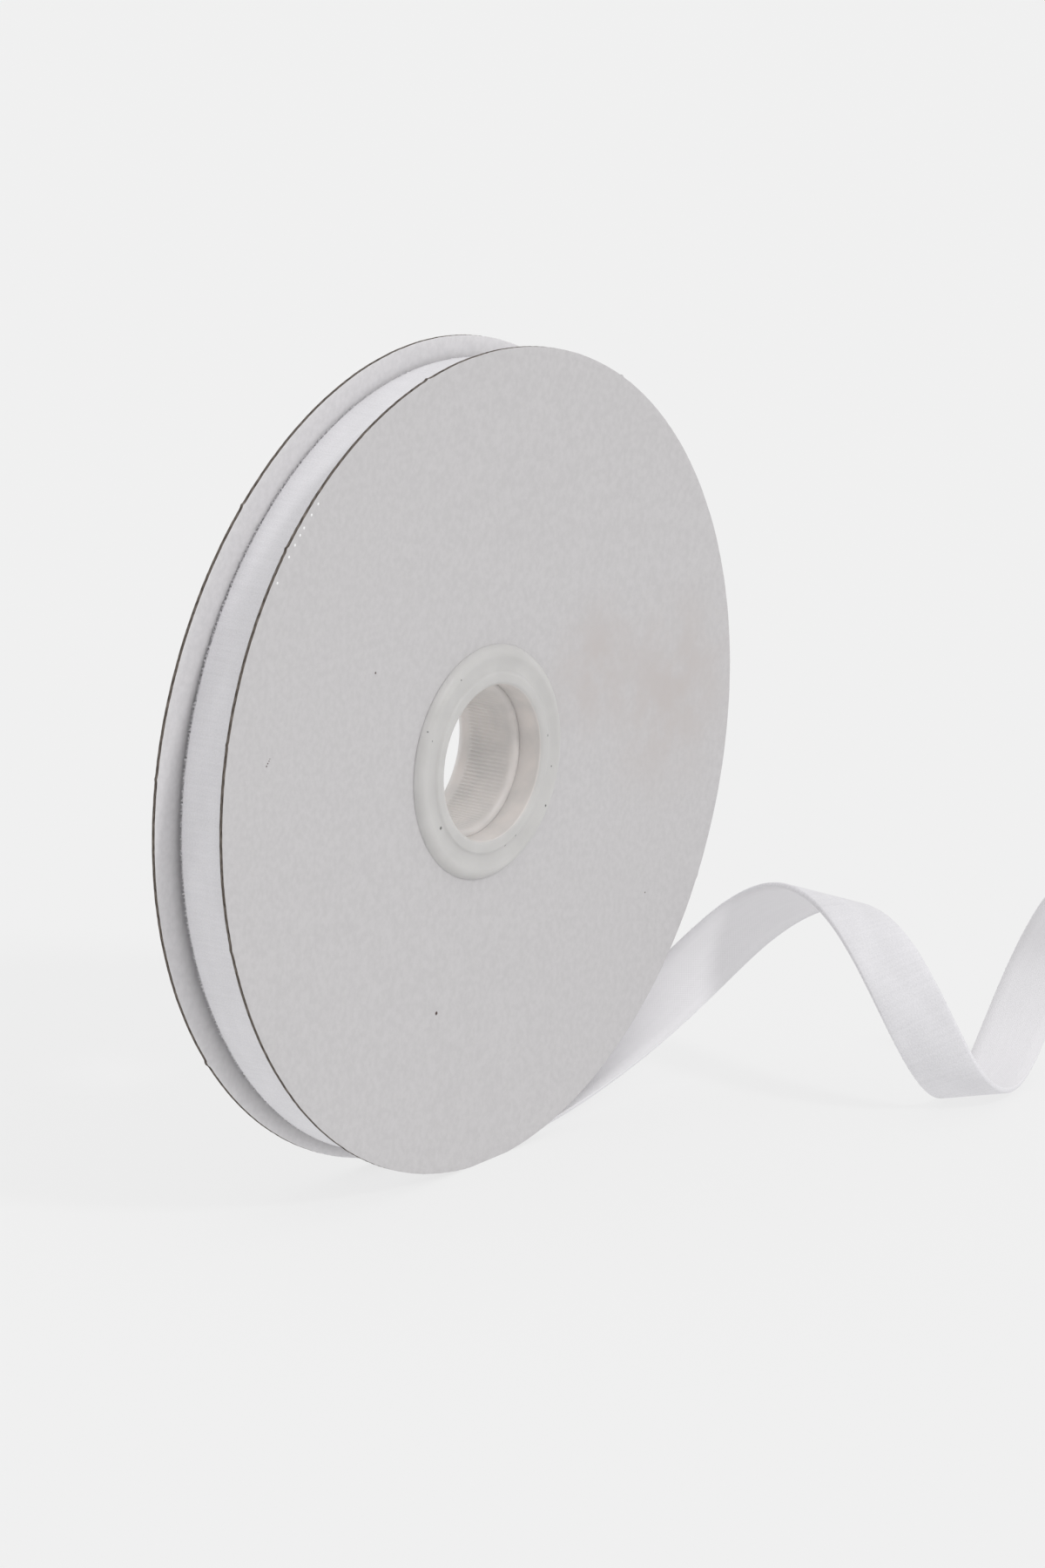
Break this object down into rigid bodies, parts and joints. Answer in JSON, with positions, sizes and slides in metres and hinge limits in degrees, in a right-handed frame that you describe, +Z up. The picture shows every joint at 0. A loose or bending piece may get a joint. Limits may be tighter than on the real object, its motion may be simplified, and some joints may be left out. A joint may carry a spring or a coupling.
{
  "type": "roll of velvet ribbon on a flanged spool",
  "caption": "Narrow velvet ribbon wound on a flat spool of two card discs and a bored plastic hub, with its curling loose end on the ground.",
  "frame": {"origin": "middle of the front disc's flat foot, on the ground", "axes": "+X along the discs towards the loose end, -Y the way the front disc faces, +Z up"},
  "size_m": [0.1571, 0.0737, 0.1258],
  "materials": {
    "card": "white mottled paper over greyboard, matte",
    "hub_plastic": "milky translucent moulding, semi-matte",
    "velvet": "white cut pile on one side, smooth woven back"
  },
  "bodies": {
    "root": {"board_front": "card", "board_back": "card", "hub_front": "hub_plastic", "hub_back": "hub_plastic", "winding": "velvet", "ribbon_tail": "velvet"}
  },
  "joints": []
}
